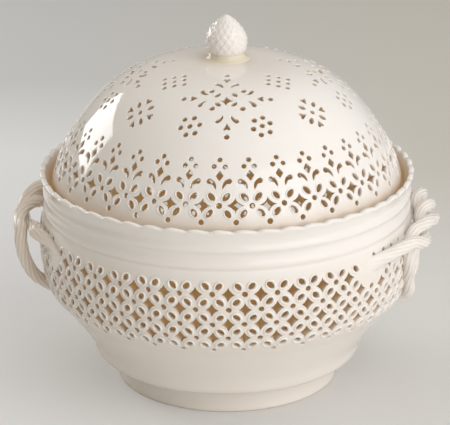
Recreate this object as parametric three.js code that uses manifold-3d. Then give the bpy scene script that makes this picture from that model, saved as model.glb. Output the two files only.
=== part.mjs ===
// Chestnut basket: a footed, pierced creamware bowl with two entwined reeded handles and a pierced domed lid.
// Millimetres, +Z up. The origin is the middle of the foot, on the ground. The handles lie along X.
import * as THREE from 'three';
import { mergeGeometries, mergeVertices } from 'three/addons/utils/BufferGeometryUtils.js';
import Module from 'manifold-3d';

const wasm = await Module();
wasm.setup();

const RAD = Math.PI / 180;

// Clearances between pieces
const JOIN_GAP = 0.3; // between two pieces that are luted together
const SEAT_GAP = 0.3; // between the lid and the ledge that carries it
const FLANGE_CLEARANCE = 0.8; // round the flange, so that the lid lifts out freely
const LID_CLEARANCE = 1.2; // round the lid's edge, inside the rim

// Foot ring
const FOOT_HEIGHT = 14.5;
const FOOT_BASE_RADIUS = 66.3;
const FOOT_TOP_RADIUS = 68.3;
const FOOT_WAIST = 1.1; // how far its side draws in
const FOOT_THICKNESS = 6;

// Bowl
const BOWL_WALL = 4.2;
const HIP_RADIUS = 79.8; // where the underside turns up into the side
const HIP_RISE = 4.5; // above the foot ring
const HIP_ROUND = 1.3; // how far the underside has risen, just inside the hip
const BULGE_RADIUS = 111;
const BULGE_HEIGHT = 86;
const NECK_SET_IN = 2.7; // from the bulge in to the neck
const NECK_HEIGHT = 105.8;
const BOWL_BELLY = [2, 1.6]; // exponents of the side's curve
const BOWL_STEPS = 3; // rings of the plain wall under the band

// Collar and rim, measured up from the neck, and out from it or in
const LOWER_RIDGE_RISE = 2.1;
const LOWER_RIDGE_RELIEF = 0.4;
const COVE_RISE = 6.2;
const COVE_DEPTH = 1.2;
const MAIN_RIDGE_RISE = 11.2;
const MAIN_RIDGE_RELIEF = 0.5;
const LIP_RISE = 15.6;
const LIP_SET_IN = 0.7;
const RIM_RISE = 23.8;
const RIM_FLARE = 2.7; // from the lip out to the rim's edge
const RIM_THICKNESS = 3.2;
const LEDGE_RISE = 13.7;
const LEDGE_WIDTH = 5.2;
const LEDGE_THICKNESS = 5;

// Scalloped edge
const SCALLOPS = 52;
const SCALLOP_DEPTH = 1.3;
const SCALLOP_CREST = 0.3; // where the crest stands, as a share of a scallop
const SCALLOP_PHASE = 10.4; // degrees from the front to the first notch

// Pierced band
const BAND_CELLS = 38;
const BAND_PHASE = -0.8; // degrees from the front to a star of the top row
const BAND_ROWS = 4;
const BAND_TOP_ROW = 92.3; // height of the top row of stars
const BAND_ROW_PITCH = 9.4;
const BAND_STAR_TIP = 4.5; // from the middle of a star to its points
const PAD_HALF_ANGLE = 5; // degrees of plain wall each side of a handle's terminal

// Lid
const LID_SET_IN = 5.3; // from the neck in to the lid's edge
const LID_WALL = 4;
const LID_SKIRT = 5.3; // upright part above the seat
const DOME_HEIGHT = 72.8;
const DOME_SHOULDER = 0.677; // exponent of the radius
const DOME_CROWN = 1.73; // exponent of the height
const CROWN_FLATTENING = 2.4; // how much lower the crown lies than that curve
const DOME_RINGS = [0, 0.1, 0.205, 0.31, 0.45, 0.58, 0.7, 0.82, 0.92]; // shares of the way up
const FLANGE_DEPTH = 7;
const FLANGE_WALL = 3.6;

// Lid piercing, measured in from the lid's edge and round the axis
const BORDER_CELLS = 33;
const BORDER_PHASE = 11.2;
const BORDER_STAR_RING = 2; // the ring of flats that holds the stars
const BORDER_STAR_SHARE = 0.93; // of the way from a flat's middle to its edges
const LOZENGE_RING = 3;
const LOZENGE_SHARE = 0.5;
const MOTIF_PHASE = 8.1; // the front cross turns this far from the front
const CROSS_SET_IN = 48;
const CROSS_STAR_TIP = 4.2;
const DAISY_TURN = 45; // degrees from a cross to the next daisy
const DAISY_SET_IN = 34;
const DAISY_REACH = 7.2;
const DAISY_PETALS = 8;
const DAISY_PETAL_TIP = 2.9;
const DAISY_PETAL_WAIST = 1.5;

// Knop and its stalk
const STALK_RADIUS = 8;
const STALK_FOOT_RADIUS = 13.5;
const STALK_HEIGHT = 2.6;
const KNOP_RADIUS = 12.6;
const KNOP_HEIGHT = 22.8;
const KNOP_ROWS = 7;
const KNOP_SCALES = 8;
const SCALE_RELIEF = 0.09;

// Handles: degrees round the axis from the handle's middle, then radius and height
const STRAND_RADIUS = 3.6;
const STRAND_REED_DEPTH = 0.45;
const STRAND_REEDS = 5;
const STRAND_STEPS = 26;
const TWIST_RADIUS = 3.95; // from the rope's middle to each strand's middle
const TWIST_HALF_TURN = 16.8; // degrees round the axis
const ROPE_STANDOFF = 9.6; // from the bulge out to the rope's middle
const ROPE_HEIGHT = 98.2;
const ROPE_DRAW_IN = 3.2; // how far the bow comes in at its ends
const ROPE_FIRST_OUTER = -14; // where strand a first stands outermost
const TERMINAL_ANGLE = 33.5;
const TERMINAL_HEIGHT = 94;
const LOW_END_HEIGHT = 53;

// Segments round the axis: two to a cell, so that a hole lies within one flat of the wall
const BODY_SEGMENTS = 2 * BAND_CELLS;
const LID_SEGMENTS = 2 * BORDER_CELLS;
const HIDDEN_SEGMENTS = 40; // foot ring and flange
const SMALL_SEGMENTS = 24;
const BURIED = 3; // how far a strand's end starts inside the wall, before it is cut

const CREAM = 0xf0e8da;
const WARM_CREAM = 0xece0c8;

function glaze(color) {
  return new THREE.MeshStandardMaterial({ color, roughness: 0.22, metalness: 0 });
}

// A closed solid from a geometry: shared vertices merged, empty triangles dropped, faces outward
function toSolid(geometry) {
  const bare = geometry.clone();
  bare.deleteAttribute('normal');
  bare.deleteAttribute('uv');
  const merged = mergeVertices(bare, 1e-4);
  const position = merged.attributes.position;
  const kept = [];
  let volume = 0;
  const a = new THREE.Vector3();
  const b = new THREE.Vector3();
  const c = new THREE.Vector3();
  for (let i = 0; i < merged.index.count; i += 3) {
    const [p, q, r] = [0, 1, 2].map((k) => merged.index.getX(i + k));
    if (p === q || q === r || r === p) continue;
    kept.push(p, q, r);
    a.fromBufferAttribute(position, p);
    b.fromBufferAttribute(position, q);
    c.fromBufferAttribute(position, r);
    volume += a.dot(b.cross(c));
  }
  if (volume < 0) kept.reverse();
  const vertProperties = new Float32Array(position.array);
  return new wasm.Manifold(new wasm.Mesh({ numProp: 3, vertProperties, triVerts: new Uint32Array(kept) }));
}

function toGeometry(solid) {
  const mesh = solid.getMesh();
  const geometry = new THREE.BufferGeometry();
  geometry.setAttribute('position', new THREE.BufferAttribute(mesh.vertProperties, 3));
  geometry.setIndex(new THREE.BufferAttribute(mesh.triVerts, 1));
  geometry.computeVertexNormals();
  return geometry;
}

// A solid of revolution about Z from [radius, height] points that run up the outside.
// A flat faces the given number of degrees from the front.
function revolve(points, segments = BODY_SEGMENTS, flat = 0) {
  const outline = points.map(([radius, height]) => new THREE.Vector2(radius, height));
  const start = flat * RAD - Math.PI / segments;
  const geometry = new THREE.LatheGeometry(outline, segments, start);
  geometry.rotateX(Math.PI / 2);
  return geometry;
}

// Points of an outline moved along its normals, to the left of its direction where distance is positive
function offsetOutline(points, distance) {
  return points.map(([radius, height], i) => {
    const before = points[Math.max(i - 1, 0)];
    const after = points[Math.min(i + 1, points.length - 1)];
    const along = new THREE.Vector2(after[0] - before[0], after[1] - before[1]).normalize();
    return [Math.max(radius - along.y * distance, 0), height + along.x * distance];
  });
}

// Place round the axis: degrees from the front (-Y), positive towards +X
function around(angle, radius, height) {
  return new THREE.Vector3(radius * Math.sin(angle * RAD), -radius * Math.cos(angle * RAD), height);
}

// A shell of revolution with four-pointed windows. The outline runs up the outside and down the inside.
// A window lies in one flat of the outside, and in the flat of the inside that backs it.
function piercedShell(outline, segments, flat, windows) {
  const vertices = [];
  const index = [];
  for (const [radius, height] of outline) {
    for (let i = 0; i < segments; i += 1) {
      vertices.push(around(flat + ((i - 0.5) * 360) / segments, radius, height));
    }
  }
  const at = (row, column) => row * segments + (column % segments);
  const quad = (a, b, c, d) => index.push(a, b, c, a, c, d);
  const corners = (row, column) => [
    at(row, column), at(row, column + 1), at(row + 1, column + 1), at(row + 1, column),
  ];
  const open = new Set();
  // The tips of a window reach a share of the way from the middle of its flat to the flat's edges
  const cutFlat = (row, column, share) => {
    open.add(at(row, column));
    const ends = corners(row, column);
    const middle = new THREE.Vector3();
    ends.forEach((end) => middle.addScaledVector(vertices[end], 1 / ends.length));
    const tips = ends.map((end, i) => {
      const edge = vertices[end].clone().lerp(vertices[ends[(i + 1) % 4]], 0.5);
      return vertices.push(middle.clone().lerp(edge, share)) - 1;
    });
    for (let i = 0; i < 4; i += 1) {
      const next = (i + 1) % 4;
      index.push(ends[i], ends[next], tips[i], ends[next], tips[next], tips[i]);
    }
    return tips;
  };
  for (const { outside, inside, column, share } of windows) {
    const outer = cutFlat(outside, column, share);
    const [high, right, low, left] = cutFlat(inside, column, share);
    const inner = [low, right, high, left];
    outer.forEach((tip, i) => quad(tip, outer[(i + 1) % 4], inner[(i + 1) % 4], inner[i]));
  }
  for (let row = 0; row + 1 < outline.length; row += 1) {
    for (let column = 0; column < segments; column += 1) {
      if (!open.has(at(row, column))) quad(...corners(row, column));
    }
  }
  const geometry = new THREE.BufferGeometry().setFromPoints(vertices);
  geometry.setIndex(index);
  return geometry;
}

// Radii that follow from the bulge: collar, rim and the lid that fits in it
const neckRadius = BULGE_RADIUS - NECK_SET_IN;
const lipRadius = neckRadius - LIP_SET_IN;
const rimRadius = lipRadius + RIM_FLARE;
const lidRadius = neckRadius - LID_SET_IN;
const crossRadius = lidRadius - CROSS_SET_IN;
const daisyRadius = lidRadius - DAISY_SET_IN;
const ropeRadius = BULGE_RADIUS + ROPE_STANDOFF;

// Bowl
const hipHeight = FOOT_HEIGHT + HIP_RISE;

function bowlRadius(height) {
  if (height <= BULGE_HEIGHT) {
    const rise = (height - hipHeight) / (BULGE_HEIGHT - hipHeight);
    const swell = (1 - (1 - rise) ** BOWL_BELLY[0]) ** BOWL_BELLY[1];
    return HIP_RADIUS + (BULGE_RADIUS - HIP_RADIUS) * swell;
  }
  const rise = (height - BULGE_HEIGHT) / (NECK_HEIGHT - BULGE_HEIGHT);
  return BULGE_RADIUS - (BULGE_RADIUS - neckRadius) * rise ** 2;
}

const ledgeHeight = NECK_HEIGHT + LEDGE_RISE;
const ledgeInner = lidRadius + LID_CLEARANCE - LEDGE_WIDTH;
const bandTop = BAND_TOP_ROW + BAND_ROW_PITCH / 2;
const bandBottom = bandTop - BAND_ROWS * BAND_ROW_PITCH;
const bowlHeights = [];
for (let i = 0; i < BOWL_STEPS; i += 1) {
  bowlHeights.push(hipHeight + ((bandBottom - hipHeight) * i) / BOWL_STEPS);
}
for (let i = 0; i <= BAND_ROWS; i += 1) bowlHeights.push(bandBottom + BAND_ROW_PITCH * i);
bowlHeights.push(NECK_HEIGHT);
const bowlOutline = bowlHeights.map((height) => [bowlRadius(height), height]);
const collarOutline = [
  [neckRadius + LOWER_RIDGE_RELIEF, NECK_HEIGHT + LOWER_RIDGE_RISE],
  [neckRadius - COVE_DEPTH, NECK_HEIGHT + COVE_RISE],
  [neckRadius + MAIN_RIDGE_RELIEF, NECK_HEIGHT + MAIN_RIDGE_RISE],
  [lipRadius, NECK_HEIGHT + LIP_RISE],
];

// The scalloped edge is a ring of its own steps: notch, crest and slope in every scallop
function scallopedRim() {
  const shares = [0, SCALLOP_CREST];
  const root = NECK_HEIGHT + LIP_RISE - 1;
  const top = NECK_HEIGHT + RIM_RISE;
  const lows = [1, 0]; // how deep the edge lies at each share, in scallop depths
  const vertices = [];
  for (let i = 0; i < SCALLOPS; i += 1) {
    shares.forEach((share, k) => {
      const angle = SCALLOP_PHASE + ((i + share) * 360) / SCALLOPS;
      const drop = lows[k] * SCALLOP_DEPTH;
      const outer = rimRadius - 0.4 * drop;
      vertices.push(
        around(angle, lipRadius - 0.4, root),
        around(angle, outer, top - drop - 0.6),
        around(angle, outer - RIM_THICKNESS, top - drop),
        around(angle, lidRadius + LID_CLEARANCE + 0.8, root),
      );
    });
  }
  const sides = 4;
  const rings = SCALLOPS * shares.length;
  const index = [];
  for (let i = 0; i < rings; i += 1) {
    for (let k = 0; k < sides; k += 1) {
      const here = i * sides;
      const next = ((i + 1) % rings) * sides;
      const up = (k + 1) % sides;
      index.push(here + k, next + k, next + up, here + k, next + up, here + up);
    }
  }
  const geometry = new THREE.BufferGeometry().setFromPoints(vertices);
  geometry.setIndex(index);
  return geometry;
}

// A four-pointed hole through a wall: tips across and along, on a place and the wall's normal there
function hole(place, normal, across, along, turn = 0) {
  const reach = 2.2 * Math.max(BOWL_WALL, LID_WALL);
  const outline = new THREE.Shape();
  outline.moveTo(across, 0);
  outline.lineTo(0, along);
  outline.lineTo(-across, 0);
  outline.lineTo(0, -along);
  outline.closePath();
  const prism = new THREE.ExtrudeGeometry(outline, { depth: 2 * reach, bevelEnabled: false, steps: 1 });
  prism.translate(0, 0, -reach);
  prism.rotateZ(turn);
  const sideways = new THREE.Vector3(0, 0, 1).cross(normal).normalize();
  const upward = normal.clone().cross(sideways);
  const frame = new THREE.Matrix4().makeBasis(sideways, upward, normal);
  prism.applyMatrix4(frame.setPosition(place));
  return prism;
}

function outwardNormal(angle, slope) {
  return around(angle, 1, -slope).normalize();
}

// Stars in every second flat of a row, and in the flats between them in the next row
function bandWindows(outsideRow, insideRow) {
  const windows = [];
  for (let row = 0; row < BAND_ROWS; row += 1) {
    const fromTop = BAND_ROWS - 1 - row;
    for (let i = 0; i < BAND_CELLS; i += 1) {
      const column = 2 * i + (fromTop % 2);
      const angle = BAND_PHASE + (column * 360) / BODY_SEGMENTS;
      const fromHandle = Math.abs(((angle + 180) % 180) - 90);
      const underTerminal = fromTop === 0 && Math.abs(fromHandle - TERMINAL_ANGLE) < PAD_HALF_ANGLE;
      if (underTerminal) continue;
      const share = (2 * BAND_STAR_TIP) / BAND_ROW_PITCH;
      const band = BOWL_STEPS + row;
      windows.push({ outside: outsideRow(band), inside: insideRow(band + 1), column, share });
    }
  }
  return windows;
}

function makeBasketBody() {
  const inner = offsetOutline(bowlOutline, BOWL_WALL).slice(0, -1).reverse();
  const floor = FOOT_HEIGHT + BOWL_WALL;
  const turn = [FOOT_TOP_RADIUS + (HIP_RADIUS - FOOT_TOP_RADIUS) * 0.62, FOOT_HEIGHT + HIP_ROUND];
  const below = [[0, FOOT_HEIGHT], [FOOT_TOP_RADIUS, FOOT_HEIGHT], turn];
  const seat = lidRadius + LID_CLEARANCE;
  const ledge = [
    [seat, NECK_HEIGHT + LIP_RISE],
    [seat, ledgeHeight],
    [ledgeInner, ledgeHeight],
    [ledgeInner, ledgeHeight - LEDGE_THICKNESS],
    [neckRadius - BOWL_WALL, NECK_HEIGHT],
  ];
  const outside = [...below, ...bowlOutline, ...collarOutline];
  const outline = [...outside, ...ledge, ...inner, [HIP_RADIUS - 3 * BOWL_WALL, floor], [0, floor]];
  const outsideRow = (i) => below.length + i;
  const insideRow = (i) => outside.length + ledge.length + inner.length - 1 - i;
  const windows = bandWindows(outsideRow, insideRow);
  const walls = toSolid(piercedShell(outline, BODY_SEGMENTS, BAND_PHASE, windows));
  return toGeometry(walls.add(toSolid(scallopedRim())));
}

function makeFootRing() {
  const top = FOOT_HEIGHT - JOIN_GAP;
  const waist = (FOOT_BASE_RADIUS + FOOT_TOP_RADIUS) / 2 - FOOT_WAIST;
  const outline = [
    [FOOT_BASE_RADIUS - FOOT_THICKNESS, 0],
    [FOOT_BASE_RADIUS - 0.8, 0],
    [FOOT_BASE_RADIUS, 0.8],
    [waist, top / 2],
    [FOOT_TOP_RADIUS, top],
    [FOOT_TOP_RADIUS - FOOT_THICKNESS, top],
    [FOOT_BASE_RADIUS - FOOT_THICKNESS, 0],
  ];
  return toGeometry(toSolid(revolve(outline, HIDDEN_SEGMENTS)));
}

// Lid
const lidSeat = ledgeHeight + SEAT_GAP;
const domeFoot = lidSeat + LID_SKIRT;
const domeTop = domeFoot + DOME_HEIGHT - CROWN_FLATTENING;

function domePoint(t, inward = 0) {
  const angle = t * 90 * RAD;
  const radius = lidRadius * Math.cos(angle) ** DOME_SHOULDER;
  const climb = Math.sin(angle);
  const height = domeFoot + DOME_HEIGHT * climb ** DOME_CROWN - CROWN_FLATTENING * climb ** 10;
  if (inward === 0) return [radius, height];
  return [radius - inward * Math.cos(angle) ** 0.5, height - inward * Math.sin(angle)];
}

// Where the dome has a given radius: its height and outward slope
function domeAt(radius) {
  const angle = Math.acos((radius / lidRadius) ** (1 / DOME_SHOULDER));
  const step = 0.004;
  const t = angle / (90 * RAD);
  const [lowRadius, lowHeight] = domePoint(t - step);
  const [highRadius, highHeight] = domePoint(t + step);
  const height = domePoint(t)[1];
  const slope = (highRadius - lowRadius) / (highHeight - lowHeight);
  return { height, slope };
}

// A hole in the dome near a motif's middle, moved on the surface by mm across and down the slope
function domeHole(angle, radius, across, down, tipAcross, tipAlong, turn) {
  const { slope } = domeAt(radius);
  const tilt = Math.atan2(1, -slope); // from level towards upright
  const movedRadius = radius + down * Math.cos(tilt);
  const moved = angle + Math.atan2(across, movedRadius) / RAD;
  const there = domeAt(movedRadius);
  const place = around(moved, movedRadius, there.height);
  return hole(place, outwardNormal(moved, there.slope), tipAcross, tipAlong, turn);
}

function lidHoles() {
  const holes = [];
  for (let quarter = 0; quarter < 4; quarter += 1) {
    const cross = MOTIF_PHASE + quarter * 90;
    holes.push(domeHole(cross, crossRadius, 0, 0, CROSS_STAR_TIP, CROSS_STAR_TIP, 0));
    for (let petal = 0; petal < DAISY_PETALS; petal += 1) {
      const turn = ((petal + 0.5) * 2 * Math.PI) / DAISY_PETALS;
      const across = DAISY_REACH * Math.sin(turn);
      const down = DAISY_REACH * Math.cos(turn);
      const place = [cross + DAISY_TURN, daisyRadius, across, down];
      holes.push(domeHole(...place, DAISY_PETAL_WAIST, DAISY_PETAL_TIP, turn));
    }
  }
  return toSolid(mergeGeometries(holes));
}

function makeLidDome() {
  const inside = [];
  const outside = [[lidRadius, lidSeat]];
  for (const share of DOME_RINGS) {
    outside.push(domePoint(share));
    if (share > 0) inside.unshift(domePoint(share, LID_WALL));
  }
  outside.push([0, domeTop]);
  inside.unshift([0, domeTop - LID_WALL]);
  const flangeOuter = ledgeInner - FLANGE_CLEARANCE;
  const outline = [
    ...inside,
    [lidRadius - LID_WALL, domeFoot],
    [flangeOuter - FLANGE_WALL, lidSeat + LID_WALL],
    [flangeOuter - FLANGE_WALL, lidSeat],
    ...outside,
  ];
  const rings = DOME_RINGS.length;
  const cuts = [[BORDER_STAR_RING, 0, BORDER_STAR_SHARE], [LOZENGE_RING, 1, LOZENGE_SHARE]];
  const windows = [];
  for (let i = 0; i < BORDER_CELLS; i += 1) {
    for (const [ring, step, share] of cuts) {
      const outsideRow = outline.length - 1 - rings + ring;
      windows.push({ outside: outsideRow, inside: rings - ring - 1, column: 2 * i + step, share });
    }
  }
  const shell = toSolid(piercedShell(outline, LID_SEGMENTS, BORDER_PHASE, windows));
  return toGeometry(shell.subtract(lidHoles()));
}

function makeLidFlange() {
  const outer = ledgeInner - FLANGE_CLEARANCE;
  const top = lidSeat - JOIN_GAP;
  const outline = [
    [outer - FLANGE_WALL, top - FLANGE_DEPTH],
    [outer - 1, top - FLANGE_DEPTH],
    [outer, top - FLANGE_DEPTH + 1],
    [outer, top],
    [outer - FLANGE_WALL, top],
    [outer - FLANGE_WALL, top - FLANGE_DEPTH],
  ];
  return toGeometry(toSolid(revolve(outline, HIDDEN_SEGMENTS)));
}

// Stalk and knop
const stalkFoot = domeTop + JOIN_GAP;
const stalkTop = stalkFoot + STALK_HEIGHT;

function makeKnopStalk() {
  const outline = [
    [0, stalkFoot],
    [STALK_FOOT_RADIUS, stalkFoot],
    [(STALK_FOOT_RADIUS + STALK_RADIUS) / 2 - 1, stalkFoot + STALK_HEIGHT / 3],
    [STALK_RADIUS, stalkTop],
    [0, stalkTop],
  ];
  return toGeometry(toSolid(revolve(outline, SMALL_SEGMENTS)));
}

function makeKnop() {
  const base = stalkTop + JOIN_GAP;
  const outline = [[0, base]];
  for (let row = 0; row < KNOP_ROWS; row += 1) {
    const t = row / KNOP_ROWS;
    const radius = KNOP_RADIUS * Math.sin(Math.PI * (0.2 + 0.8 * t ** 0.9)) ** 0.75;
    outline.push([radius, base + KNOP_HEIGHT * t]);
  }
  outline.push([0, base + KNOP_HEIGHT]);
  const geometry = revolve(outline, 2 * KNOP_SCALES);
  const position = geometry.attributes.position;
  const point = new THREE.Vector3();
  for (let i = 0; i < position.count; i += 1) {
    point.fromBufferAttribute(position, i);
    const row = Math.round(((point.z - base) / KNOP_HEIGHT) * KNOP_ROWS);
    const wave = Math.cos(KNOP_SCALES * Math.atan2(point.y, point.x) + Math.PI * row);
    const swell = 1 + SCALE_RELIEF * wave;
    position.setXYZ(i, point.x * swell, point.y * swell, point.z);
  }
  return toGeometry(toSolid(geometry));
}

// Handles
// The rope's bow comes in towards its ends, and each strand winds round it
function ropePoint(angle, lead) {
  const share = angle / (TWIST_HALF_TURN * 1.5);
  const turn = lead - ((angle - ROPE_FIRST_OUTER) / TWIST_HALF_TURN) * Math.PI;
  const radius = ropeRadius - ROPE_DRAW_IN * share ** 2 + TWIST_RADIUS * Math.cos(turn);
  return [angle, radius, ROPE_HEIGHT + TWIST_RADIUS * Math.sin(turn)];
}

function ropeStretch(from, to, lead) {
  const steps = 8;
  return Array.from({ length: steps + 1 }, (_, i) => ropePoint(from + ((to - from) * i) / steps, lead));
}

// Strand a runs from the front terminal over the rope and down the outside to the rear low end
const strandARoute = [
  [-TERMINAL_ANGLE - 2, bowlRadius(TERMINAL_HEIGHT) - BURIED, TERMINAL_HEIGHT - 1],
  [-TERMINAL_ANGLE + 1, bowlRadius(TERMINAL_HEIGHT) + 1.6, TERMINAL_HEIGHT + 1],
  [-26.5, ropeRadius - 2.8, 99.5],
  [-20.5, ropeRadius + 1.7, 101.2],
  ...ropeStretch(ROPE_FIRST_OUTER, 18.5, 0),
  [19.8, ropeRadius + 2.5, 91],
  [17.5, ropeRadius + 0.2, 79],
  [14, ropeRadius - 5.8, 67],
  [10.5, bowlRadius(LOW_END_HEIGHT) + 6.5, LOW_END_HEIGHT + 5],
  [8, bowlRadius(LOW_END_HEIGHT) - BURIED, LOW_END_HEIGHT],
];

// Strand b rises from the front low end inside strand a, and runs over the rope to the rear terminal
const strandBRoute = [
  [-5, bowlRadius(LOW_END_HEIGHT) - BURIED, LOW_END_HEIGHT],
  [-7, bowlRadius(LOW_END_HEIGHT) + 6.5, LOW_END_HEIGHT + 4],
  [-10.5, ropeRadius - 6.5, 69],
  [-13.6, ropeRadius - 4.1, 82],
  [-14.8, ropeRadius - 4.3, 92],
  ...ropeStretch(-11.5, 21, Math.PI),
  [26.5, ropeRadius - 4.8, 101],
  [TERMINAL_ANGLE - 2, bowlRadius(TERMINAL_HEIGHT) + 2.5, TERMINAL_HEIGHT + 3],
  [TERMINAL_ANGLE + 2, bowlRadius(TERMINAL_HEIGHT) - BURIED, TERMINAL_HEIGHT - 1],
];

// Everything inside the bowl's outer face, and the gap that a luted piece keeps to it
function wallKeepOut() {
  const skin = offsetOutline([...bowlOutline, ...collarOutline], -JOIN_GAP);
  const solid = [[0, skin[0][1]], ...skin, [0, skin[skin.length - 1][1]]];
  return toSolid(revolve(solid, BODY_SEGMENTS, BAND_PHASE));
}
const keepOut = wallKeepOut();

function makeStrand(route, middle) {
  const points = route.map(([angle, radius, height]) => around(middle + angle, radius, height));
  const path = new THREE.CatmullRomCurve3(points, false, 'centripetal');
  const section = new THREE.Shape();
  for (let i = 0; i < 2 * STRAND_REEDS; i += 1) {
    const angle = (i * Math.PI) / STRAND_REEDS;
    const radius = STRAND_RADIUS - (i % 2) * STRAND_REED_DEPTH;
    const place = [radius * Math.cos(angle), radius * Math.sin(angle)];
    if (i === 0) section.moveTo(...place);
    else section.lineTo(...place);
  }
  section.closePath();
  const options = { steps: STRAND_STEPS, extrudePath: path, bevelEnabled: false, curveSegments: 1 };
  return toGeometry(toSolid(new THREE.ExtrudeGeometry(section, options)).subtract(keepOut));
}

// Assembly
const basket = new THREE.Group();

function place(name, geometry, color) {
  const mesh = new THREE.Mesh(geometry, glaze(color));
  mesh.name = name;
  basket.add(mesh);
  return mesh;
}

place('basket_body', makeBasketBody(), CREAM);
place('foot_ring', makeFootRing(), CREAM);
for (const [side, middle] of [['right', 90], ['left', 270]]) {
  place(`handle_${side}_strand_a`, makeStrand(strandARoute, middle), CREAM);
  place(`handle_${side}_strand_b`, makeStrand(strandBRoute, middle), CREAM);
}
place('lid_dome', makeLidDome(), CREAM);
place('lid_flange', makeLidFlange(), WARM_CREAM);
place('knop_stalk', makeKnopStalk(), WARM_CREAM);
place('knop', makeKnop(), CREAM);

export default basket;
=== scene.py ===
# %% [markdown]
# # A pierced chestnut basket
#
# A footed bowl of cream-coloured earthenware, with a scalloped rim, two handles of entwined straps and a
# domed lid. The potter threw the bowl and the lid on a wheel, turned them thin, and cut the pattern through
# the leather-hard wall with small punches. Straps, stalk and knop were stuck on with slip before the
# firing.
#
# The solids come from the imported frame, which gives every piece its place. This lesson makes the visible
# pieces round them. Sizes are written in millimetres, as on a potter's card, and MM turns them into
# Blender's metres.

# %% Load the frame
import math
import random

import bpy
import numpy as np
from mathutils import Matrix, Quaternion, Vector
from mathutils.geometry import delaunay_2d_cdt


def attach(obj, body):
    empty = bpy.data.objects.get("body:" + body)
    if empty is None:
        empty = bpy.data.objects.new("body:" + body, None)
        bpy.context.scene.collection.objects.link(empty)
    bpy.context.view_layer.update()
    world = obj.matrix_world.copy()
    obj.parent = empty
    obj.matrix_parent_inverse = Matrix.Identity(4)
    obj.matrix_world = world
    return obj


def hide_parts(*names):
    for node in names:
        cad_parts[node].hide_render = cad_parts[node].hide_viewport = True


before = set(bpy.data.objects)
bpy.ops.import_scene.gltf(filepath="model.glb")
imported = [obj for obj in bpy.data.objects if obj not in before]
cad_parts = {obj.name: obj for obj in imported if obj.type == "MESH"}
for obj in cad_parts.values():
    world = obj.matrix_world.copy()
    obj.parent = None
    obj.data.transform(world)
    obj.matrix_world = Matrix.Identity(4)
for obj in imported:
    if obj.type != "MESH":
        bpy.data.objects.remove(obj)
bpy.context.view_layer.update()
MM = 0.001
print("solids:", ", ".join(sorted(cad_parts)))

# %% [markdown]
# ## Camera
#
# The photograph was taken from a little above the rim with a long lens, slightly to one side of the
# handles' middle. A long lens far away keeps the ellipses of the rim and the foot nearly the same shape, so
# the distance matters as much as the angle. The camera is built from three directions: back towards it,
# right and up. That is surer than rotation angles, because the small roll can be mixed into right and up.

# %% Camera
VIEW_AZIMUTH = 8.5
VIEW_ELEVATION = 20.33
VIEW_DISTANCE = 1379.5
AIM_HEIGHT = 99.7
AIM_LEFT = 1.2
VIEW_ROLL = 0.31
LENS = 185.6


def direction(azimuth, elevation):
    """The way from the basket to a point that far round and up, counted from the front."""
    turn = math.radians(azimuth)
    rise = math.radians(elevation)
    return Vector((math.sin(turn) * math.cos(rise), -math.cos(turn) * math.cos(rise), math.sin(rise)))


back = direction(VIEW_AZIMUTH, VIEW_ELEVATION)
level_right = direction(VIEW_AZIMUTH + 90, 0)
roll = math.radians(VIEW_ROLL)
level_up = back.cross(level_right)
right = level_right * math.cos(roll) - level_up * math.sin(roll)
up = back.cross(right)
aim = (Vector((0, 0, AIM_HEIGHT)) - level_right * AIM_LEFT) * MM

camera = bpy.data.objects.new("camera", bpy.data.cameras.new("camera"))
camera.data.lens = LENS
camera.data.sensor_width = 36
facing = Matrix((right, up, back)).transposed().to_4x4()
camera.matrix_world = Matrix.Translation(aim + back * VIEW_DISTANCE * MM) @ facing
bpy.context.scene.collection.objects.link(camera)
bpy.context.scene.camera = camera
bpy.context.scene.view_settings.view_transform = "Standard"
print("camera at", [round(c, 3) for c in camera.location])

# %% [markdown]
# ## Light
#
# Glossy glaze shows the lamps as shapes. The long white patch on the left of the lid is a softbox that
# stands behind the basket on the left: its place follows from the way the glaze mirrors the line of sight
# there. The right side is lit by larger and softer lamps. A dim sky opens the shadows. It stands for the
# walls of the room, which are warm on the left and grey on the right.

# %% Lamps
LAMP_AIM = Vector((0, 0, 0.12))


def softbox(name, azimuth, elevation, distance, width, height, watts, mirrored=False, roll=0.0):
    """A rectangular lamp that faces the middle of the basket, placed as seen from the camera, in metres.
    Only a mirrored one shows as a shape in the glaze."""
    lamp = bpy.data.objects.new(name, bpy.data.lights.new(name, "AREA"))
    lamp.data.shape = "RECTANGLE"
    lamp.data.size = width
    lamp.data.size_y = height
    lamp.data.energy = watts
    lamp.visible_glossy = mirrored
    way = direction(VIEW_AZIMUTH + azimuth, elevation)
    lamp.location = LAMP_AIM + way * distance
    facing = way.to_track_quat("Z", "Y") @ Quaternion((0, 0, 1), math.radians(roll))
    lamp.rotation_euler = facing.to_euler()
    bpy.context.scene.collection.objects.link(lamp)


softbox("right_high", 62, 42, 1.35, 1.1, 1.0, 4.4)
softbox("right_mid", 35, 28, 1.5, 1.2, 0.9, 4.6, mirrored=True)
softbox("front_high", 0, 55, 1.6, 1.4, 1.0, 1.9)
softbox("front_right_low", 45, 8, 1.6, 1.2, 0.5, 4.2)
softbox("front_low", 30, 3, 1.2, 1.2, 0.16, 1.7)
softbox("overhead", 180, 80, 1.5, 1.3, 1.3, 5.4)
softbox("rear_softbox", -127, 18, 1.3, 0.72, 0.46, 5.6, mirrored=True, roll=5)

SKY_STRENGTH = 0.42
WARM_WALL = (0.6, 0.54, 0.42, 1)
GREY_WALL = (0.87, 0.87, 0.87, 1)
FADE_RATE = 0.6

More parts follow.
